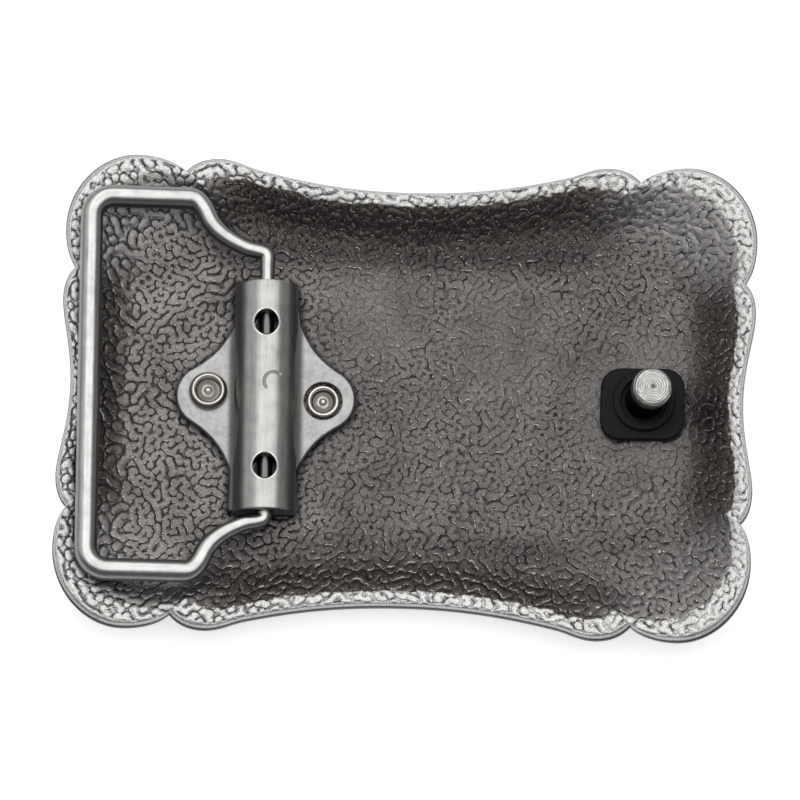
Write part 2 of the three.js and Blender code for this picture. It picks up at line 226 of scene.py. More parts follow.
class Kit:
    """Adds nodes to a shader tree. A value is a number, a tuple or another node's socket."""

    def __init__(self, tree):
        self.tree = tree

    def add(self, kind, values=None, **settings):
        node = self.tree.nodes.new(kind)
        for name, value in settings.items():
            setattr(node, name, value)
        for key, value in (values or {}).items():
            if isinstance(value, bpy.types.NodeSocket):
                self.tree.links.new(value, node.inputs[key])
            else:
                node.inputs[key].default_value = value
        return node

    def attribute(self, name, output="Fac"):
        return self.add("ShaderNodeAttribute", attribute_name=name).outputs[output]

    def math(self, operation, *values):
        return self.add("ShaderNodeMath", dict(enumerate(values)), operation=operation).outputs[0]

    def plus(self, a, b):
        return self.math("ADD", a, b)

    def minus(self, a, b):
        return self.math("SUBTRACT", a, b)

    def times(self, a, b):
        return self.math("MULTIPLY", a, b)

    def vector(self, operation, *values):
        node = self.add("ShaderNodeVectorMath", dict(enumerate(values)), operation=operation)
        return node.outputs[0]

    def length(self, vector):
        return self.add("ShaderNodeVectorMath", {0: vector}, operation="LENGTH").outputs["Value"]

    def dot(self, a, b):
        return self.add("ShaderNodeVectorMath", {0: a, 1: b}, operation="DOT_PRODUCT").outputs["Value"]

    def parts(self, vector):
        """The X, Y and Z of a vector."""
        return self.add("ShaderNodeSeparateXYZ", {0: vector}).outputs

    def scaled(self, vector, size):
        node = self.add("ShaderNodeVectorMath", {0: vector, "Scale": size}, operation="SCALE")
        return node.outputs[0]

    def between(self, share, a, b):
        node = self.add("ShaderNodeMix", {0: share, 2: a, 3: b}, data_type="FLOAT")
        return node.outputs[0]

    def blend(self, share, a, b):
        """Colour a where the share is 0, and colour b where it is 1."""
        node = self.add("ShaderNodeMix", {0: share, 6: a, 7: b}, data_type="RGBA")
        return node.outputs[2]

    def step(self, value, low, high, start=0.0, end=1.0):
        values = {"Value": value, "From Min": low, "From Max": high, "To Min": start, "To Max": end}
        node = self.add("ShaderNodeMapRange", values, interpolation_type="SMOOTHSTEP")
        return node.outputs[0]

    def noise(self, place, grain, detail=2.0, roughness=0.5):
        """Soft noise whose lumps are about `grain` apart, in the units of the place."""
        values = {"Vector": place, "Scale": 1 / grain, "Detail": detail, "Roughness": roughness}
        node = self.add("ShaderNodeTexNoise", values, noise_dimensions="3D")
        return node.outputs[0]

    def from_axis(self, place, centre):
        """The distance across X and Y from an upright line through the centre."""
        away = self.vector("MULTIPLY", self.vector("SUBTRACT", place, tuple(centre)), (1, 1, 0))
        return self.length(away)

    def band(self, value, middle, half, blur):
        """1 within `half` of the middle, fading to 0 over `blur`."""
        off = self.math("ABSOLUTE", self.minus(value, middle))
        return self.step(off, half, half + blur, 1.0, 0.0)


# ---- the cast pattern: raised islands with curly grooves between them ----

def read_grid(grid, x, y):
    """A grid's values at places on the plate, between its own points."""
    column = (x + GRID_HALF[0]) / GRID_STEP
    row = (y + GRID_HALF[1]) / GRID_STEP
    left, low = np.floor(column).astype(int), np.floor(row).astype(int)
    u, v = column - left, row - low
    below = grid[low, left] * (1 - u) + grid[low, left + 1] * u
    above = grid[low + 1, left] * (1 - u) + grid[low + 1, left + 1] * u
    return below * (1 - v) + above * v


def frequency_of(shape):
    """Cycles per millimetre of each term of the grid's Fourier transform."""
    along = np.fft.fftfreq(shape[0], GRID_STEP)[:, None]
    across = np.fft.rfftfreq(shape[1], GRID_STEP)[None, :]
    return np.hypot(along, across)


def filtered(grid, weight):
    return np.fft.irfft2(np.fft.rfft2(grid) * weight, grid.shape)


def lumps(shape, grain, seed):
    """Soft noise with lumps of about `grain` millimetres, mostly from -1 to 1."""
    field = np.random.default_rng(seed).standard_normal(shape)
    field = filtered(field, np.exp(-(frequency_of(shape) * grain) ** 2))
    return field / field.std()


def island_field(coarse):
    """Heights of islands that repeated filtering grows out of noise, larger where `coarse` is 1."""
    frequency = frequency_of(coarse.shape)
    bands = [np.exp(-(frequency * wave - 1) ** 2) * (frequency > 0) for wave in (FINE_WAVE, COARSE_WAVE)]
    field = np.random.default_rng(3).standard_normal(coarse.shape)
    for _ in range(6):
        fine_part, coarse_part = (filtered(field, band) for band in bands)
        mixed = fine_part / fine_part.std() * (1 - coarse) + coarse_part / coarse_part.std() * coarse
        field = np.tanh(2 * (mixed - 0.3 * coarse))
    field = filtered(field, np.exp(-(frequency * 0.42) ** 2))
    return field / field.std()


def grooves_of(field):
    """The way from each grid place to the middle of its groove, in millimetres, and the groove's depth."""
    y_slope, x_slope = np.gradient(field, GRID_STEP)
    yy, _ = np.gradient(y_slope, GRID_STEP)
    xy, xx = np.gradient(x_slope, GRID_STEP)
    curve = (xx + yy) / 2 + np.hypot((xx - yy) / 2, xy)
    angle = np.arctan2(2 * xy, xx - yy) / 2
    x_way, y_way = np.cos(angle), np.sin(angle)
    distance = (x_slope * x_way + y_slope * y_way) / np.maximum(curve, 1.0)
    depth = smooth_step(curve, 2, 8) * (1 - smooth_step(field, -0.6, 0.0))
    return distance * x_way, distance * y_way, depth


def make_pattern():
    """Grids over the plate's back: where the islands are large, their heights, and the grooves."""
    x = np.arange(-GRID_HALF[0], GRID_HALF[0], GRID_STEP)[None, :]
    y = np.arange(-GRID_HALF[1], GRID_HALF[1], GRID_STEP)[:, None]
    edges = smooth_step(np.abs(y) - 0.004 * x ** 2, 22.0, 24.5)
    left = 1 - smooth_step(x + 0 * y, -37, -33.5)
    coarse = np.maximum(0.6 * edges, left)
    coarse = np.maximum(coarse, 0.45 * smooth_step(lumps(coarse.shape, 7.0, 8), 0.2, 1.5))
    field = island_field(coarse)
    return (coarse, field) + grooves_of(field)


# ---- plate ----

def quarter_edge(spacing):
    """A quarter of the scalloped edge, from the waist of a long side to the waist of a short side."""
    curves = [
        [(0, 27.25), (9, 27.25), (15, 28.5), (19.8, 29.6)],
        [(19.8, 29.6), (21.8, 30.1), (23, 30.95), (25, 30.95)],
        [(25, 30.95), (27.2, 30.95), (28.5, 30.1), (29.4, 29.1)],
        [(29.4, 29.1), (30.6, 30.3), (33, 31.05), (35.4, 31.05)],
        [(35.4, 31.05), (40.2, 31.05), (44.5, 26.6), (44.5, 21)],
        [(44.5, 21), (44.5, 18.6), (44, 17), (43.05, 15.7)],
        [(43.05, 15.7), (44, 14.9), (44.5, 13.4), (44.5, 11.5)],
        [(44.5, 11.5), (44.4, 8.4), (43.1, 5.2), (43.1, 0)],
    ]
    pieces = []
    for controls in curves:
        line = cubic(*controls)
        length = distance_along(line)[-1]
        pieces.append(evenly(line, max(2, round(length / spacing))))
    return joined(*pieces)


def quarter_floor_line():
    """A quarter of the smooth line where the dished wall meets the floor."""
    return joined(
        cubic((0, 18.6), (13, 18.6), (16, 20.1), (23, 20.1)),
        cubic((23, 20.1), (29.5, 20.1), (34.4, 16.5), (34.9, 10.5)),
        cubic((34.9, 10.5), (35.1, 8), (35, 4), (35, 0)),
    )


def quarter_panel_line():
    angle = np.linspace(math.pi / 2, 0, 400)
    return np.stack([PANEL_HALF[0] * np.cos(angle), PANEL_HALF[1] * np.sin(angle)], axis=1)


def matched(line, edge):
    """Points of a quarter line at the same shares of its length as the edge's own points."""
    edge_gone = distance_along(edge)
    gone = distance_along(line)
    wanted = edge_gone / edge_gone[-1] * gone[-1]
    return np.stack([np.interp(wanted, gone, line[:, axis]) for axis in (0, 1)], axis=1)


def whole_line(quarter):
    """The whole line from its quarter, counter-clockwise from the +X axis."""
    upper = np.concatenate([quarter[::-1][:-1], quarter[:-1] * (-1, 1)])
    return np.concatenate([upper, -upper])


def smooth_profile(rows, shares):
    """Drops at the given shares, on a smooth curve through the profile's rows."""
    rows = np.array(rows, float)
    slope = np.gradient(rows[:, 1], rows[:, 0])
    slope[-1] = 0
    index = np.clip(np.searchsorted(rows[:, 0], shares, side="right") - 1, 0, len(rows) - 2)
    width = rows[index + 1, 0] - rows[index, 0]
    t = (shares - rows[index, 0]) / width
    rise, fall = t * t * (3 - 2 * t), (1 - t)
    value = rows[index, 1] * (1 - rise) + rows[index + 1, 1] * rise
    return value + width * t * fall * (slope[index] * fall - slope[index + 1] * t)


def coons_patch(ring, side):
    """A grid that fills a ring of points. `side` is the number of steps from the +X axis to a corner."""
    count = len(ring)
    half = count // 2
    corners = (count - side, side, half - side, half + side)
    right = np.take(ring, range(corners[0] - count, corners[1] + 1), axis=0, mode="wrap")
    top = ring[corners[1]:corners[2] + 1][::-1]
    left = ring[corners[2]:corners[3] + 1][::-1]
    bottom = ring[corners[3]:corners[0] + 1]
    u = np.linspace(0, 1, len(top))[None, :, None]
    v = np.linspace(0, 1, len(right))[:, None, None]
    grid = (1 - v) * bottom[None] + v * top[None] + (1 - u) * left[:, None] + u * right[:, None]
    return grid - (
        (1 - u) * (1 - v) * bottom[0] + u * (1 - v) * bottom[-1] + (1 - u) * v * top[0] + u * v * top[-1]
    )


def without_notches(edge):
    """The closed edge with its notches and lobes evened out over about 8 mm."""
    length = np.hypot(*(np.roll(edge, -1, axis=0) - edge).T).sum()
    cycles = np.fft.fftfreq(len(edge), length / len(edge))
    terms = np.fft.fft(edge[:, 0] + 1j * edge[:, 1]) * np.exp(-(cycles * 8) ** 2)
    smooth = np.fft.ifft(terms)
    return np.column_stack([smooth.real, smooth.imag])


def back_surface(edge, floor_line):
    """Points, faces and share from the edge of the dished back."""
    profile = [
        (0, 0.9), (0.04, 0.14), (0.06, 0.03), (0.13, 0), (0.24, 0.2), (0.42, 1.0), (0.62, 2.1), (0.82, 2.85),
        (1, 3.1),
    ]
    shares = np.concatenate([np.linspace(0, 0.1, int(18 / FINE)), np.linspace(0.1, 1, int(54 / FINE))[1:]])
    drops = smooth_profile(profile, shares)
    calm_edge = without_notches(edge)
    rings = []
    for share, drop in zip(shares, drops):
        calm = smooth_step(share, 0.08, 0.5)
        outer = edge * (1 - calm) + calm_edge * calm
        flat = outer * (1 - share) + floor_line * share
        rings.append(bent(flat, RIM_TOP - drop))
    count = len(edge)
    side = round(count * 0.095)
    grid = coons_patch(floor_line, side)
    rows, columns = grid.shape[:2]
    flat = grid.reshape(-1, 2)
    middle = bent(flat, FLOOR_TOP)
    points = np.concatenate(rings + [middle])
    share = np.concatenate([np.repeat(shares, count), np.full(len(middle), 1.0)])
    band = grid_faces(len(rings), count, 0, wrap=True)
    inner = grid_faces(rows, columns, len(rings) * count)
    return points, np.concatenate([band, inner]), share


def front_surface(edge, floor_line, panel):
    """Points and faces of the stepped front, from the edge inwards to the flat oval panel."""
    profile = [(0, 1.9), (0.1, 2.6), (0.22, 2.3), (0.27, 2.0), (0.4, 2.9), (0.7, 4.6), (1, 5.3)]
    shares = np.linspace(0, 1, int(40 / FINE))
    drops = smooth_profile(profile, shares)
    rings = []
    for share, drop in zip(shares, drops):
        flat = edge * (1 - share) + floor_line * share
        rings.append(bent(flat, RIM_TOP - drop))
    for share in np.linspace(0, 1, int(26 / FINE))[1:]:
        flat = floor_line * (1 - share) + panel * share
        rings.append(np.column_stack([flat, FIELD_BOTTOM + bend_rise(flat[:, 0]) * (1 - share ** 4)]))
    for scale, level in ((1.0, 0.25), (0.997, 0.1), (0.985, 0.02), (0.97, 0.0), (0.6, 0.0), (0.25, 0.0)):
        rings.append(np.column_stack([panel * scale, np.full(len(panel), level)]))
    points = np.concatenate(rings + [np.zeros((1, 3))])
    count = len(edge)
    faces = list(grid_faces(len(rings), count, 0, wrap=True)[:, ::-1])
    last = (len(rings) - 1) * count
    fan = [(last + (i + 1) % count, last + i, len(points) - 1) for i in range(count)]
    return points, faces + fan


def stored(mesh, name, values):
    """Keeps a number or a vector at each vertex, for the shader to read."""
    values = np.asarray(values, np.float32)
    kind, field = ("FLOAT", "value") if values.ndim == 1 else ("FLOAT_VECTOR", "vector")
    mesh.attributes.new(name, kind, "POINT").data.foreach_set(field, values.ravel())


def near(points, centre, radius, blur):
    """1 inside a circle round the centre, fading to 0 over `blur`."""
    distance = np.hypot(points[:, 0] - centre[0], points[:, 1] - centre[1])
    return 1 - smooth_step(distance, radius, radius + blur)


def bracket_shade(points):
    """Painted shade on the plate along the foot of the bracket's edge."""
    outline = without_repeats(bracket_outline())
    outline = evenly(np.concatenate([outline, outline[:1]]), 300) + (HINGE_X, BRACKET_SHIFT)
    beside = np.abs(points[:, 0] - HINGE_X) < RIVET_X + WING_TIP_RADIUS + 2
    beside &= np.abs(points[:, 1]) < SHEET_HALF[1] + 2
    away = np.hypot(*(points[beside, None, :2] - outline[None]).transpose(2, 0, 1)).min(axis=1)
    shade = np.zeros(len(points))
    shade[beside] = 0.75 * (1 - smooth_step(away, 0.1, 1.0))
    return shade


def back_masks(points, share):
    """Numbers from 0 to 1 at each point of the back, for the strength of the pattern and the tones."""
    x, y = points[:, 0], points[:, 1]
    calm = np.maximum.reduce([
        near(points, FOOT_PLACE, 6.5, 5) * 0.5,
        near(points, (HINGE_X, 0), 7, 4) * 0.3,
        near(points, (-4, 12), 3, 7) * 0.5,
        near(points, (12, 8), 3, 8) * 0.5,
    ])
    corner = smooth_step(np.abs(x), 22, 32) * smooth_step(np.abs(y), 12, 20)
    long_sides = np.maximum(smooth_step(y, 15.5, 19.5), 0.6 * smooth_step(-y, 16.0, 19.5))
    # Painted shade on the floor at the foot of the long walls, darker under the +Y wall.
    shade_at_wall_foot = 0.85 * long_sides * (1 - smooth_step(np.abs(x), 18, 30))
    return {
        "bold": (1 - calm) * smooth_step(share, 0.05, 0.075),
        "share": share,
        "corner": corner * (1 - smooth_step(share, 0.5, 0.95)) * (1 - 0.5 * smooth_step(-y, 10, 15)),
        "wall": (1 - smooth_step(share, 0.65, 0.95)) * (1 - corner),
        "foot": shade_at_wall_foot * smooth_step(share, 0.6, 0.95),
        "lightness": 1 - 0.55 * smooth_step(x, -24, -4),
        "edge": 1 - smooth_step(share, 0.006, 0.022),
        "shade": bracket_shade(points),
    }


def front_edge_of(points, count):
    """1 on the front's outermost rings, which belong to the plate's dark side wall."""
    return (np.arange(len(points)) // count < 3).astype(float)


def raise_along_normals(mesh, height):
    """Moves each vertex along its normal by its height in millimetres."""
    normals = np.empty(len(height) * 3, np.float32)
    mesh.vertices.foreach_get("normal", normals)
    place = np.empty(len(height) * 3, np.float32)
    mesh.vertices.foreach_get("co", place)
    mesh.vertices.foreach_set("co", place + np.repeat(height, 3) * normals * MM)


def make_plate():
    quarter = quarter_edge(0.2 * FINE)
    edge = whole_line(quarter)
    floor_line = whole_line(matched(quarter_floor_line(), quarter))
    panel = whole_line(matched(quarter_panel_line(), quarter))
    points, faces, share = back_surface(edge, floor_line)
    front_points, front_faces = front_surface(edge, floor_line, panel)
    back_count = len(points)
    every = np.concatenate([points, front_points])
    all_faces = list(faces) + [tuple(i + back_count for i in f) for f in front_faces]
    # The side wall of the edge joins the back's first ring to the front's first ring.
    count = len(edge)
    for i in range(count):
        j = (i + 1) % count
        all_faces.append((back_count + i, back_count + j, j, i))
    piece = mesh_piece("cast_plate", every, all_faces)
    masks = back_masks(points, share)
    x, y = points[:, 0], points[:, 1]
    coarse, field, way_x, way_y, depth = (read_grid(grid, x, y) for grid in make_pattern())
    masks["coarse"] = coarse
    masks["depth"] = depth * masks["bold"]
    side_wall = front_edge_of(front_points, count)
    front = {name: 0 * side_wall for name in masks}
    front["edge"] = side_wall
    for name, values in masks.items():
        stored(piece.data, name, np.concatenate([values, front[name]]))
    stored(piece.data, "front", np.concatenate([np.zeros(back_count), 1 - side_wall]))
    way = np.zeros((len(every), 3))
    way[:back_count, :2] = np.column_stack([way_x, way_y])
    stored(piece.data, "way", way)
    groove = (1 - smooth_step(np.hypot(way_x, way_y), 0, 0.28)) * masks["depth"]
    height = np.zeros(len(every), np.float32)
    height[:back_count] = 0.015 * np.clip(field, -1, 1) * masks["bold"] - (0.035 + 0.05 * coarse) * groove
    raise_along_normals(piece.data, height)
    mesh_tidy(piece)
    dress(piece, aged_cast(), "plate")


def mesh_tidy(piece):
    """Joins coinciding vertices and turns every face outwards."""
    mesh = bmesh.new()
    mesh.from_mesh(piece.data)
    bmesh.ops.remove_doubles(mesh, verts=mesh.verts, dist=1e-6)
    bmesh.ops.recalc_face_normals(mesh, faces=mesh.faces)
    mesh.to_mesh(piece.data)
    mesh.free()
    piece.data.update()


# ---- materials ----

def new_material(name, metallic=1.0):
    material = bpy.data.materials.new(name)
    material.use_nodes = True
    tree = material.node_tree
    shader = tree.nodes["Principled BSDF"]
    shader.inputs["Metallic"].default_value = metallic
    return material, Kit(tree), shader


def object_place(kit):
    """The surface's place on the object, in millimetres."""
    return kit.scaled(kit.add("ShaderNodeTexCoord").outputs["Object"], 1 / MM)


def bump(kit, height, depth=1.0):
    """A normal from heights in millimetres, multiplied by the depth."""
    return kit.add("ShaderNodeBump", {"Height": height, "Distance": MM * depth}).outputs[0]


def plug(kit, shader, **sockets):
    names = {"colour": "Base Color", "rough": "Roughness", "normal": "Normal", "metal": "Metallic"}
    for key, socket in sockets.items():
        kit.tree.links.new(socket, shader.inputs[names[key]])


def aged_cast():
    """Dark patinated casting: black in its grooves and burnished on its rim, with painted shade on its walls
    and along the bracket, and painted light in its corners.
    """
    material, kit, shader = new_material("aged_cast")
    place = object_place(kit)
    names = ("coarse", "depth", "share", "corner", "wall", "foot", "lightness", "edge", "shade", "front")
    read = {name: kit.attribute(name) for name in names}
    way = kit.attribute("way", "Vector")
    distance = kit.length(way)
    facing = kit.dot(way, (0.3, 0.95, 0))
    fine = kit.noise(place, 0.16, 4.0, 0.65)
    mottle = kit.noise(place, 0.7, 3.0, 0.6)
    patches = kit.noise(place, 5.0, 3.0)
    wobble = kit.times(kit.minus(kit.noise(place, 0.3, 3.0, 0.6), 0.5), 0.24)
    # The burnished rim stops at a sharp, uneven line, where the wall turns down.
    ragged = kit.times(kit.minus(kit.noise(place, 1.1, 2.0), 0.5), 0.14)
    rim = kit.step(kit.plus(read["share"], ragged), 0.215, 0.24, 1.0, 0.0)
    # Painted light and shade at each groove: on the bank that faces the light the groove is painted
    # narrower, with a thin painted highlight beside it, and on the far bank it is painted wider and darker
    # as painted shade.
    lit_bank = kit.step(facing, -0.04, 0.08)
    half = kit.times(kit.between(read["coarse"], 0.12, 0.17), kit.between(lit_bank, 1.25, 0.85))
    half = kit.times(half, kit.between(rim, 1.0, 1.2))
    share = kit.math("DIVIDE", kit.plus(distance, wobble), half)
    groove = kit.times(kit.step(share, 0.15, 1.0, 1.0, 0.0), read["depth"])
    # Right of the hinge the grooves are worn away in places.
    patchy = kit.step(kit.noise(place, 1.5, 2.0), 0.58, 0.46)
    worn = kit.times(patchy, kit.step(read["lightness"], 0.9, 0.5))
    groove = kit.times(groove, kit.between(worn, 1.0, 0.15))
    painted_lip_highlight = kit.times(kit.step(share, 0.85, 1.2), kit.step(share, 1.4, 2.3, 1.0, 0.0))
    painted_lip_highlight = kit.times(kit.times(painted_lip_highlight, lit_bank), read["depth"])
    painted_lip_highlight = kit.times(painted_lip_highlight, kit.step(mottle, 0.3, 0.48))
    wall = kit.times(read["wall"], kit.minus(1.0, rim))
    tone = kit.plus(kit.times(patches, 0.35), kit.times(fine, 0.65))
    grey = kit.blend(kit.step(tone, 0.32, 0.68), (0.062, 0.057, 0.055, 1), (0.215, 0.203, 0.197, 1))
    floor = kit.blend(read["lightness"], (0.052, 0.048, 0.0465, 1), grey)
    # Painted shade at the foot of the long walls.
    floor = kit.blend(read["foot"], floor, (0.026, 0.023, 0.022, 1))
    # The walls are painted darker as painted shade, where they face away from the light, and the corners are
    # painted lighter as painted light, where their gentler slopes catch it.
    walls = kit.blend(wall, floor, (0.058, 0.052, 0.049, 1))
    corners = kit.blend(read["corner"], walls, (0.24, 0.232, 0.225, 1))
    # A thin painted highlight beside each groove, on the bank that faces the light.
    lit = kit.blend(kit.times(painted_lip_highlight, 0.9), corners, (0.62, 0.605, 0.59, 1))
    bright = kit.blend(kit.step(fine, 0.3, 0.7), (0.3, 0.294, 0.288, 1), (0.6, 0.592, 0.58, 1))
    burnished = kit.blend(rim, lit, bright)
    # Fine dark pits, and a few bright grains as painted glints, off the rim.
    grains = kit.noise(place, 0.24, 2.0, 0.7)
    pits = kit.times(kit.step(grains, 0.57, 0.64), 0.5)
    glints = kit.times(kit.step(grains, 0.4, 0.34), kit.between(rim, 0.16, 0.0))
    pitted = kit.blend(pits, burnished, (0.02, 0.02, 0.02, 1))
    grained = kit.blend(glints, pitted, (0.6, 0.59, 0.57, 1))
    darkening = kit.times(groove, kit.between(wall, 0.92, 0.5))
    aged = kit.blend(darkening, grained, (0.01, 0.01, 0.01, 1))
    # The plate's dark side wall, and painted shade on the plate along the bracket's edge.
    dark = kit.math("MAXIMUM", read["edge"], read["shade"])
    outline = kit.blend(dark, aged, (0.015, 0.015, 0.015, 1))
    stipple = kit.step(mottle, 0.25, 0.75)
    stippled = kit.blend(stipple, (0.24, 0.234, 0.228, 1), (0.4, 0.394, 0.386, 1))
    colour = kit.blend(read["front"], outline, stippled)
    rough = kit.plus(0.3, kit.times(fine, 0.16))
    dip = kit.times(kit.step(share, 0.0, 1.8, 1.0, 0.0), read["depth"])
    grain = kit.plus(kit.times(dip, -0.08), kit.times(fine, 0.04))
    grain = kit.plus(grain, kit.times(kit.times(mottle, read["front"]), 0.25))
    normal = bump(kit, grain)
    bare = kit.minus(1.0, kit.times(kit.math("MAXIMUM", painted_lip_highlight, glints), 0.7))
    plug(kit, shader, colour=colour, rough=rough, normal=normal, metal=bare)
    return material


def satin(name, colour, rough, streak, grain=0.003, painted_side_shade=None, along=None, finish=None):
    """Brushed bare metal. `streak` stretches the scratches along each axis, in millimetres, and
    `along` names an attribute that the scratches follow instead of the object's own place.
    The painted side shade is a range of how far up the surface faces: below it the sides and underside are
    darkened as painted shade, which leaves a painted highlight band along the top. `finish` adds details to
    the colour and the height."""
    material, kit, shader = new_material(name)
    place = object_place(kit)
    if along:
        brushed = kit.attribute(along, "Vector")
    else:
        brushed = place
    stretched = kit.vector("DIVIDE", brushed, streak)
    lines = kit.noise(stretched, 1.0, 3.0, 0.65)
    clouds = kit.noise(place, 2.2, 3.0, 0.6)
    specks = kit.noise(place, 0.25, 2.0, 0.6)
    dull = tuple(c * 0.66 for c in colour) + (1,)
    bright = tuple(colour) + (1,)
    tone = kit.plus(kit.times(lines, 0.5), kit.times(clouds, 0.5))
    base = kit.blend(kit.step(tone, 0.3, 0.62), dull, bright)
    # Sides and undersides are darkened as painted shade, which leaves a painted highlight band along the
    # top.
    if painted_side_shade:
        up = kit.parts(kit.add("ShaderNodeTexCoord").outputs["Normal"])[2]
        up = kit.plus(up, kit.times(kit.minus(clouds, 0.5), 0.06))
        dark = tuple(c * 0.5 for c in colour) + (1,)
        base = kit.blend(kit.step(up, *painted_side_shade), dark, base)
    roughness = kit.plus(rough - 0.09, kit.times(lines, 0.12))
    roughness = kit.plus(roughness, kit.times(specks, 0.06))
    height = kit.plus(kit.times(lines, grain), kit.times(specks, grain * 0.5))
    if finish:
        base, height = finish(kit, place, base, height)
    normal = bump(kit, height)
    plug(kit, shader, colour=base, rough=roughness, normal=normal)
    return material


def cross_holes_and_dent(kit, place, base, height):
    """Painted shade in the barrel's cross holes, a bright ring round each that is partly wear and partly a
    painted highlight on its chamfer, and a crescent dent between them.
    """
    for side in (-1, 1):
        level = BARREL_BOTTOM + BARREL_HEIGHT - 0.8
        centre = millimetres(hinge_matrix(), 0, BARREL_SHIFT + side * CROSS_HOLE_Y, level)
        out = kit.from_axis(place, centre)
        # Painted shade inside each cross hole, and round it a bright ring that is partly wear and partly a
        # painted highlight.
        base = kit.blend(kit.step(out, 1.5, 1.6, 1.0, 0.0), base, (0.03, 0.028, 0.026, 1))
        base = kit.blend(kit.band(out, 1.72, 0.05, 0.08), base, (0.62, 0.61, 0.595, 1))
    centre = millimetres(hinge_matrix(), 1.3, 0.9, 0)
    side = kit.parts(kit.vector("SUBTRACT", place, tuple(centre)))
    slanted = kit.plus(side[0], kit.times(side[1], -0.8))
    left = kit.step(slanted, -0.5, 0.3, 1.0, 0.0)
    out = kit.from_axis(place, centre)
    crescent = kit.times(kit.band(out, 1.25, 0.06, 0.16), left)
    base = kit.blend(kit.times(crescent, 0.55), base, (0.1, 0.1, 0.095, 1))
    height = kit.plus(height, kit.times(crescent, -0.1))
    return base, height


def painted_shade_where_covered(kit, place, base, height):
    """The bail's pins are darkened inside the barrel, as painted shade in its bore and cross holes."""
    covered = kit.attribute("covered")
    return kit.blend(covered, base, (0.13, 0.127, 0.122, 1)), height


def shaded_by_barrel(kit, place, base, height):
    """Painted shade on the bracket along both sides of the barrel, where the barrel covers and shades it."""
    middle = millimetres(hinge_matrix(), 0, 0, 0)
    sideways = hinge_matrix().to_3x3() @ Vector((1, 0, 0))
    away = kit.vector("SUBTRACT", place, tuple(middle))
    out = kit.dot(away, tuple(sideways))
    darkening = kit.step(kit.math("ABSOLUTE", out), BARREL_RADIUS + 0.25, BARREL_RADIUS + 1.1, 0.85, 0.0)
    return kit.blend(darkening, base, (0.03, 0.028, 0.027, 1)), height


def cupped(kit, place, base, height):
    """A darker cup with a bright pip in each rivet."""
    for x, y in ((-RIVET_X, LEFT_RIVET_Y), (RIVET_X, RIGHT_RIVET_Y)):
        centre = millimetres(fitting_matrix(), x, y, 0)
        out = kit.from_axis(place, centre)
        worn = kit.plus(out, kit.times(kit.noise(place, 0.8, 3.0), 0.5))
        cup = kit.times(kit.step(out, 1.3, 1.55, 1.0, 0.0), kit.step(worn, 0.6, 1.2))
        base = kit.blend(kit.times(cup, 0.9), base, (0.05, 0.045, 0.038, 1))
    return base, height


def black_steel():
    material, kit, shader = new_material("black_steel", metallic=0.0)
    shader.inputs["Specular IOR Level"].default_value = 0.06
    place = object_place(kit)
    clouds = kit.noise(place, 1.4, 3.0)
    base = kit.blend(clouds, (0.004, 0.004, 0.005, 1), (0.011, 0.011, 0.012, 1))
    rough = kit.between(clouds, 0.25, 0.4)
    normal = bump(kit, kit.noise(place, 0.3, 2.0), 0.01)
    plug(kit, shader, colour=base, rough=rough, normal=normal)
    return material


def turned_steel(centre):
    """Bare steel on the turned head, blackened below it. Rings are about the end face's centre."""
    material, kit, shader = new_material("turned_steel")
    place = object_place(kit)
    radius = kit.from_axis(place, centre)
    wobble = kit.plus(radius, kit.times(kit.noise(place, 1.2, 2.0), 0.5))
    rings = kit.math("SINE", kit.times(wobble, 2 * math.pi / 0.3))
    level = kit.parts(kit.vector("SUBTRACT", place, tuple(centre)))[2]
    bare = kit.step(kit.plus(level, kit.times(kit.noise(place, 0.8, 2.0), 0.8)), -2.2, -1.2)
    clouds = kit.noise(place, 0.7, 3.0)
    steel = kit.blend(clouds, (0.22, 0.215, 0.205, 1), (0.6, 0.595, 0.575, 1))
    ringed = kit.blend(kit.step(rings, -0.2, 0.9, 0.0, 0.4), steel, (0.16, 0.155, 0.145, 1))
    pip = kit.blend(kit.step(radius, 0.1, 0.22, 1.0, 0.0), ringed, (0.06, 0.06, 0.055, 1))
    base = kit.blend(bare, (0.008, 0.008, 0.009, 1), pip)
    rough = kit.between(bare, 0.35, 0.36)
    normal = bump(kit, rings, 0.02)
    plug(kit, shader, colour=base, rough=rough, normal=normal)
    return material


# ---- hinge fitting ----

def fitting_matrix():
    """The fitting lies on the bent floor, level with it at the hinge line."""
    place = Vector((HINGE_X, 0, FLOOR_TOP + bend_rise(HINGE_X))) * MM
    return Matrix.Translation(place) @ Matrix.Rotation(-bend_slope(HINGE_X), 4, "Y")


def hinge_matrix():
    return fitting_matrix() @ Matrix.Rotation(HINGE_YAW, 4, "Z")


def bracket_outline():
    """The sheet's outline, counter-clockwise from the lower right corner."""
    tangent = (RIVET_X + WING_TIP_RADIUS / 2, WING_TIP_RADIUS * math.sin(math.pi / 3))
    half_x, half_y = SHEET_HALF
    tip = arc((RIVET_X, 0), WING_TIP_RADIUS, -math.pi / 3, math.pi / 3)
    lower = cubic((half_x, -WING_ROOT_Y), (5.6, -6.2), (7.7, -4.6), (tangent[0], -tangent[1]), count=60)
    upper = (lower * (1, -1))[::-1]
    corner = 0.5
    right = joined(
        arc((half_x - corner, -half_y + corner), corner, -math.pi / 2, 0, 8),
        np.array([(half_x, -half_y + corner), (half_x, -WING_ROOT_Y)]),
        lower, tip, upper,
        np.array([(half_x, WING_ROOT_Y), (half_x, half_y - corner)]),
        arc((half_x - corner, half_y - corner), corner, 0, math.pi / 2, 8),
    )
    left = -right
    # The sheet's upper right end stops short, under the barrel.
    right[:, 0] -= 0.8 * smooth_step(right[:, 1], WING_ROOT_Y + 0.2, WING_ROOT_Y + 1.5)
    return np.concatenate([right, left])


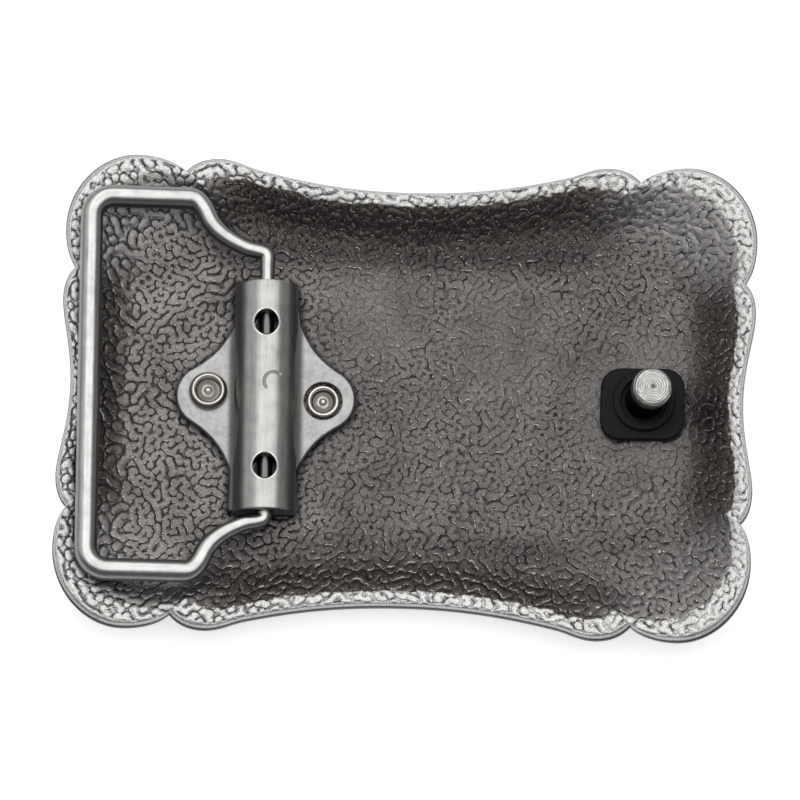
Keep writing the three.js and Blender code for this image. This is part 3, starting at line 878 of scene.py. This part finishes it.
def inset(outline, distance):
    """The closed outline moved inwards."""
    after = np.roll(outline, -1, axis=0) - outline
    before = outline - np.roll(outline, 1, axis=0)
    along = after / np.maximum(np.hypot(*after.T), 1e-9)[:, None]
    along = along + before / np.maximum(np.hypot(*before.T), 1e-9)[:, None]
    along /= np.maximum(np.hypot(*along.T), 1e-9)[:, None]
    return outline + np.column_stack([-along[:, 1], along[:, 0]]) * distance


def without_repeats(line):
    step = np.hypot(*(np.roll(line, -1, axis=0) - line).T)
    return line[step > 1e-6]


def bridge(mesh, upper, lower):
    """Quads between two closed loops of the same number of vertices."""
    for i in range(len(upper)):
        j = (i + 1) % len(upper)
        mesh.faces.new((upper[i], lower[i], lower[j], upper[j]))


def rounded_wall(mesh, ring_at, round_off, steps):
    """Loops down a vertical wall whose top edge is rounded off. `ring_at` gives the ring that is
    a distance back from the wall. Returns the top and bottom loops."""
    loops = []
    for angle in np.linspace(0, math.pi / 2, steps):
        level = SHEET_TOP - round_off * (1 - math.cos(angle))
        ring = ring_at(round_off * (1 - math.sin(angle)))
        loops.append([mesh.verts.new((x, y, level)) for x, y in ring])
    loops.append([mesh.verts.new((x, y, SHEET_BOTTOM)) for x, y in ring_at(0.0)])
    for upper, lower in zip(loops, loops[1:]):
        bridge(mesh, upper, lower)
    return loops[0], loops[-1]


def make_bracket():
    outline = without_repeats(bracket_outline())
    ring = evenly(np.concatenate([outline, outline[:1]]), 720)[:-1]
    mesh = bmesh.new()

    def edge_ring(inner):
        return inset(ring, inner)

    walls = [rounded_wall(mesh, edge_ring, 0.34, 7)]
    for x, y, radius in (
        (-RIVET_X, LEFT_RIVET_Y - BRACKET_SHIFT, RAISED_RIVET_HOLE),
        (RIVET_X, RIGHT_RIVET_Y - BRACKET_SHIFT, SUNK_RIVET_HOLE),
    ):
        def hole_ring(wider):
            return arc((x, y), radius + wider, 0, 2 * math.pi, 96)[:-1]

        walls.append(rounded_wall(mesh, hole_ring, 0.15, 5))
    for outer, *holes in zip(*walls):
        fill_between(mesh, outer, holes)
    bmesh.ops.recalc_face_normals(mesh, faces=mesh.faces)
    piece = mesh_piece("bracket_sheet", [], [])
    mesh.to_mesh(piece.data)
    mesh.free()
    piece.data.transform(fitting_matrix() @ shifted(0, BRACKET_SHIFT, 0) @ Matrix.Scale(MM, 4))
    piece.data.shade_smooth()
    sharp_by_angle(piece, 35)
    material = satin("bracket_sheet", (0.33, 0.326, 0.32), 0.42, (0.5, 0.5, 0.5), finish=shaded_by_barrel)
    dress(piece, material, "hinge_bracket")


def fill_between(mesh, outer, inner_loops):
    """Triangles between an outer loop and the loops of its holes."""
    edges = []
    for loop in [outer] + inner_loops:
        for i in range(len(loop)):
            pair = (loop[i], loop[(i + 1) % len(loop)])
            edges.append(mesh.edges.get(pair) or mesh.edges.new(pair))
    bmesh.ops.triangle_fill(mesh, edges=edges, use_beauty=True, use_dissolve=False)


def barrel_section(turn):
    """The barrel's outer surface over its flat underside, from one bottom corner round to the other."""
    straight = BARREL_HEIGHT - BARREL_RADIUS
    return joined(
        np.array([(BARREL_RADIUS, 0), (BARREL_RADIUS, straight)]),
        arc((0, straight), BARREL_RADIUS, 0, math.pi, turn),
        np.array([(-BARREL_RADIUS, straight), (-BARREL_RADIUS, 0)]),
    )


def make_barrel():
    section = barrel_section(96)
    half = BARREL_LENGTH / 2
    along = [(-half, 0.16), (-half + 0.05, 0.06), (-half + 0.18, 0.0)]
    along += [(y, 0.0) for y in np.linspace(-half + 0.4, half - 0.4, 150)]
    along += [(-y, drop) for y, drop in along[:3][::-1]]
    rows = []
    middle = np.array((0, 1.5))
    for y, drop in along:
        toward = section - middle
        flat = section - toward / np.hypot(*toward.T)[:, None] * drop
        flat[[0, -1]] = section[[0, -1]]
        rows.append(np.column_stack([flat[:, 0], np.full(len(flat), y), flat[:, 1]]))
    points = np.concatenate(rows)
    columns = len(section)
    faces = list(grid_faces(len(rows), columns))
    faces += [tuple(range(columns)), tuple(range(len(points) - 1, len(points) - 1 - columns, -1))]
    for i in range(len(rows) - 1):
        a, b = i * columns, (i + 1) * columns
        faces.append((a, b, b + columns - 1, a + columns - 1))
    piece = mesh_piece("barrel", points, faces)
    mesh_tidy(piece)
    for cutter in (bore_cutter(), cross_hole_cutter(-1), cross_hole_cutter(1)):
        cut(piece, cutter)
    piece.data.transform(hinge_matrix() @ shifted(0, BARREL_SHIFT, BARREL_BOTTOM))
    piece.data.shade_smooth()
    sharp_by_angle(piece, 28)
    material = satin(
        "barrel_steel", (0.37, 0.364, 0.354), 0.32, (0.16, 6.0, 0.16), 0.005,
        painted_side_shade=(0.3, 0.75), finish=cross_holes_and_dent,
    )
    dress(piece, material, "hinge_barrel")


def cut(piece, cutter):
    modifier = piece.modifiers.new("cut", "BOOLEAN")
    modifier.operation = "DIFFERENCE"
    modifier.solver = "EXACT"
    modifier.object = cutter
    bpy.context.view_layer.update()
    solved = piece.evaluated_get(bpy.context.evaluated_depsgraph_get())
    mesh = bpy.data.meshes.new_from_object(solved)
    piece.modifiers.remove(modifier)
    piece.data = mesh
    bpy.data.objects.remove(cutter)


def capped_lathe(name, profile, sides=128, matrix=None):
    """A closed turned piece; its profile starts and ends on the axis."""
    inner = profile[1:-1]
    points, faces = lathe(inner, sides)
    points = np.concatenate([points, [(0, 0, profile[0][1]), (0, 0, profile[-1][1])]])
    first, last = len(points) - 2, len(points) - 1
    base = (len(inner) - 1) * sides
    ends = [(first, (i + 1) % sides, i) for i in range(sides)]
    ends += [(last, base + i, base + (i + 1) % sides) for i in range(sides)]
    piece = mesh_piece(name, points, list(faces) + ends, matrix)
    mesh_tidy(piece)
    return piece


def bore_cutter():
    reach = BARREL_LENGTH / 2 + 1
    matrix = shifted(0, 0, AXIS_Z - BARREL_BOTTOM) @ Matrix.Rotation(math.pi / 2, 4, "X")
    return capped_lathe(
        "bore", [(0, -reach), (BORE_RADIUS, -reach), (BORE_RADIUS, reach), (0, reach)], 48, matrix
    )


def cross_hole_cutter(side):
    top = BARREL_HEIGHT
    profile = rounded([
        (CROSS_HOLE_RADIUS, top - CROSS_HOLE_DEPTH), (CROSS_HOLE_RADIUS, top - CROSS_HOLE_BEVEL / 2),
        (CROSS_HOLE_RADIUS + CROSS_HOLE_BEVEL, top + CROSS_HOLE_BEVEL / 2),
    ], 0.3)
    profile = [(0, top - CROSS_HOLE_DEPTH)] + profile + [(0, top + CROSS_HOLE_BEVEL / 2)]
    return capped_lathe("cross_hole", profile, 96, shifted(0, side * CROSS_HOLE_Y, 0))


def make_rivets():
    """Two tubular rivets: the left one stands proud of its wing and the right one is sunk in its hole."""
    seat = 1.7
    raised = rounded([
        (1.5, -0.8), (1.6, -0.7), (1.6, seat), (2.4, seat), (2.45, seat + 0.3), (2.1, seat + 0.8),
        (1.85, seat + 0.9), (1.65, seat + 0.7), (1.45, seat + 0.05), (0.55, seat - 0.05), (0.35, seat + 0.3),
    ], 0.15)
    raised = [(0, -0.8)] + raised + [(0, seat + 0.42)]
    top = SHEET_TOP
    sunk = rounded([
        (1.5, -0.8), (1.6, -0.7), (1.6, 0.5), (2.1, 0.75), (2.1, top - 0.2), (1.9, top), (1.7, top),
        (1.5, top - 0.2), (1.35, top - 0.75), (0.5, top - 0.8), (0.35, top - 0.5),
    ], 0.12)
    sunk = [(0, -0.8)] + sunk + [(0, top - 0.42)]
    material = satin("rivet_metal", (0.56, 0.54, 0.5), 0.3, (0.4, 0.4, 0.4), 0.01, finish=cupped)
    for name, node, x, y, profile in (
        ("rivet_head_raised", "rivet_left", -RIVET_X, LEFT_RIVET_Y, raised),
        ("rivet_head_sunk", "rivet_right", RIVET_X, RIGHT_RIVET_Y, sunk),
    ):
        piece = capped_lathe(name, profile, 128, fitting_matrix() @ shifted(x, y, 0))
        dress(piece, material, node)


# ---- bail ----

def half_bail_line():
    """Half of the rod's middle line: the distance out from the hinge axis, and the distance along it."""
    bend = (BAIL_REACH - BAIL_CORNER, BAIL_HALF_Y - BAIL_CORNER)
    return joined(
        np.array([(BAIL_REACH, 0), (BAIL_REACH, bend[1])]),
        arc(bend, BAIL_CORNER, 0, math.pi / 2),
        np.array([(bend[0], BAIL_HALF_Y), (10.2, BAIL_HALF_Y)]),
        cubic((10.2, BAIL_HALF_Y), (8.9, BAIL_HALF_Y), (8.2, 23.2), (7.6, 21.9)),
        cubic((7.6, 21.9), (6.9, 20.4), (5.2, 19.1), (2.8, 18.15)),
        cubic((2.8, 18.15), (1.3, 17.56), (0, 17.9), (0, PIN_STRAIGHT_Y)),
        np.array([(0, PIN_STRAIGHT_Y), (0, PIN_END_Y)]),
    )


def rod_radius(out, across):
    arm = ARM_RADIUS + (BAR_RADIUS - ARM_RADIUS) * smooth_step(out, 9, BAIL_REACH - 1)
    bend = PIN_RADIUS + 0.05 + (arm - PIN_RADIUS - 0.05) * smooth_step(out, 2, 11)
    return np.where((out < 0.05) & (across < PIN_STRAIGHT_Y - 0.5), PIN_RADIUS, bend)


def make_bail():
    half = evenly(half_bail_line(), int(360 / FINE))
    line = np.concatenate([(half[1:] * (1, -1))[::-1], half])
    tangent = np.gradient(line, axis=0)
    tangent /= np.hypot(*tangent.T)[:, None]
    radius = rod_radius(line[:, 0], np.abs(line[:, 1]))
    sides = 56
    angle = np.linspace(0, 2 * math.pi, sides, endpoint=False)
    outward = radius[:, None] * np.cos(angle)
    points = np.stack([
        -(line[:, :1] + tangent[:, 1:] * outward),
        line[:, 1:] - tangent[:, :1] * outward,
        radius[:, None] * np.sin(angle),
    ], axis=-1).reshape(-1, 3)
    faces = list(grid_faces(len(line), sides, wrap=True))
    faces += [tuple(range(sides)), tuple(range(len(points) - sides, len(points)))]
    matrix = (
        hinge_matrix() @ shifted(0, BAIL_SHIFT, AXIS_Z)
        @ Matrix.Rotation(BAIL_REST_ANGLE, 4, "Y")
    )
    piece = mesh_piece("bail_rod", points, faces, matrix)
    gone = distance_along(line)
    rod = np.stack([
        radius[:, None] * np.cos(angle),
        radius[:, None] * np.sin(angle),
        np.repeat(gone[:, None], sides, axis=1),
    ], axis=-1)
    stored(piece.data, "rod", rod.reshape(-1, 3))
    covered = (np.abs(line[:, 1] + BAIL_SHIFT - BARREL_SHIFT) < BARREL_LENGTH / 2) & (line[:, 0] < 0.1)
    stored(piece.data, "covered", np.repeat(covered, sides))
    mesh_tidy(piece)
    sharp_by_angle(piece, 60)
    material = satin(
        "bail_steel", (0.48, 0.475, 0.465), 0.3, (0.3, 0.3, 6.0),
        painted_side_shade=(0.75, 0.95), along="rod", finish=painted_shade_where_covered,
    )
    dress(piece, material, "bail")


# ---- belt stud ----

def stud_matrix():
    place = Vector((*FOOT_PLACE, FLOOR_TOP + bend_rise(FOOT_PLACE[0]))) * MM
    return Matrix.Translation(place) @ Matrix.Rotation(-bend_slope(FOOT_PLACE[0]), 4, "Y")


def leaning_matrix():
    """The stud leans about the middle of its collar."""
    pivot = (COLLAR_BOTTOM + COLLAR_TOP) / 2
    return (
        stud_matrix() @ shifted(*STUD_OFFSET, pivot)
        @ Matrix.Rotation(LEAN_OUT + bend_slope(FOOT_PLACE[0]), 4, "Y")
        @ Matrix.Rotation(-LEAN_ACROSS, 4, "X") @ shifted(0, 0, -pivot)
    )


def foot_outline(inner):
    x, y, r = FOOT_HALF[0] - inner, FOOT_HALF[1] - inner, FOOT_CORNER - inner
    corners = [(x - r, -y + r, -90), (x - r, y - r, 0), (-x + r, y - r, 90), (-x + r, -y + r, 180)]
    arcs = [arc((cx, cy), r, math.radians(a), math.radians(a + 90), 24) for cx, cy, a in corners]
    return np.concatenate(arcs)


def make_foot(material):
    bottom, soft = 0.3, 0.3
    rows = [(0.0, bottom)]
    for angle in np.linspace(0, math.pi / 2, 6):
        rows.append((soft * (1 - math.cos(angle)), FOOT_TOP - soft * (1 - math.sin(angle))))
    rows += [(1.2, FOOT_TOP), (2.4, FOOT_TOP)]
    rings = [np.column_stack([foot_outline(inner), np.full(100, level)]) for inner, level in rows]
    count = len(rings[0])
    points = np.concatenate(rings)
    faces = list(grid_faces(len(rings), count, wrap=True))
    faces += [tuple(range(count - 1, -1, -1)), tuple(range(len(points) - count, len(points)))]
    piece = mesh_piece("stud_foot_pad", points, faces, stud_matrix())
    mesh_tidy(piece)
    sharp_by_angle(piece, 40)
    dress(piece, material, "stud_foot")


def make_collar(material):
    profile = rounded([
        (3.0, COLLAR_BOTTOM), (4.0, COLLAR_BOTTOM), (4.0, COLLAR_TOP - 0.15), (3.85, COLLAR_TOP),
        (3.0, COLLAR_TOP), (3.0, COLLAR_BOTTOM),
    ], 0.1)
    points, faces = lathe(profile, 128)
    matrix = stud_matrix() @ shifted(*STUD_OFFSET, 0)
    piece = mesh_piece("stud_collar_ring", points, faces, matrix)
    mesh_tidy(piece)
    dress(piece, material, "stud_collar")


def make_stud():
    profile = rounded([
        (1.4, 0.0), (1.4, 1.6), (2.5, 1.6), (2.5, 2.6), (2.2, 4.4), (2.25, 6.2), (2.55, 6.9),
        (2.55, STUD_TOP - 0.5), (2.15, STUD_TOP), (0.35, STUD_TOP),
    ], 0.2)
    profile = [(0, 0.0)] + profile + [(0.22, STUD_TOP + 0.13), (0, STUD_TOP + 0.15)]
    piece = capped_lathe("stud_shaft", profile, 160, leaning_matrix())
    sharp_by_angle(piece, 40)
    centre = millimetres(leaning_matrix(), 0, 0, STUD_TOP)
    dress(piece, turned_steel(centre), "belt_stud")


# ---- floor, lights and camera ----

def make_floor():
    points = [(-3000, -3000, 0), (3000, -3000, 0), (3000, 3000, 0), (-3000, 3000, 0)]
    floor = mesh_piece("floor", points, [(0, 1, 2, 3)])
    material, kit, shader = new_material("pale_floor", metallic=0.0)
    place = object_place(kit)
    tint = kit.blend(kit.noise(place, 400.0, 1.0), (0.6, 0.6, 0.6, 1), (0.62, 0.62, 0.62, 1))
    plug(kit, shader, colour=tint)
    shader.inputs["Roughness"].default_value = 0.7
    shader.inputs["Emission Color"].default_value = (1, 1, 1, 1)
    shader.inputs["Emission Strength"].default_value = 0.6
    floor.data.materials.append(material)


def make_world():
    """Soft-edged light overhead, dimmer light to both sides, a low glow all round, a pale backdrop."""
    world = bpy.data.worlds.new("studio")
    bpy.context.scene.world = world
    world.use_nodes = True
    tree = world.node_tree
    kit = Kit(tree)
    background = tree.nodes["Background"]
    direction = kit.parts(kit.add("ShaderNodeTexCoord").outputs["Generated"])
    up = kit.math("MAXIMUM", direction[2], 0.001)
    across = kit.math("DIVIDE", direction[0], up)
    along = kit.math("DIVIDE", direction[1], up)
    deep = kit.times(kit.step(along, -0.6, -0.2), kit.step(along, 1.6, 2.6, 1.0, 0.0))
    key = kit.times(kit.step(across, -0.7, -0.3), kit.step(across, 0.8, 1.15, 1.0, 0.0))
    left = kit.times(
        kit.step(across, -6.0, -2.0, 0.0, 0.75), kit.step(across, -0.4, 0.0, 1.0, 0.0)
    )
    right = kit.times(kit.step(across, 0.0, 0.4, 0.0, 0.2), kit.step(across, 1.2, 3.5, 1.0, 0.0))
    lights = kit.plus(kit.times(key, 1.9), kit.plus(left, right))
    box = kit.times(deep, lights)
    low = kit.step(direction[2], 0.15, 0.55, 0.3, 0.0)
    light = kit.plus(kit.plus(box, low), 0.12)
    seen = kit.add("ShaderNodeLightPath").outputs["Is Camera Ray"]
    background.inputs["Color"].default_value = (1, 1, 1, 1)
    tree.links.new(kit.between(seen, light, 0.85), background.inputs["Strength"])


def make_camera():
    data = bpy.data.cameras.new("camera")
    data.lens = 298.35
    data.sensor_width = 36.0
    data.clip_start = 0.05
    camera = bpy.data.objects.new("camera", data)
    bpy.context.collection.objects.link(camera)
    turn = Euler((math.radians(12.5), math.radians(1.303), math.radians(1.818)), "XYZ")
    aim = Vector((-0.82, -0.375, RIM_TOP)) * MM
    back = turn.to_matrix() @ Vector((0, 0, 1))
    camera.rotation_euler = turn
    camera.location = aim + back * 0.85
    bpy.context.scene.camera = camera


make_camera()
make_floor()
make_world()
bpy.context.scene.view_settings.view_transform = "Standard"
make_plate()
make_bracket()
make_barrel()
make_rivets()
make_bail()
black = black_steel()
make_foot(black)
make_collar(black)
make_stud()
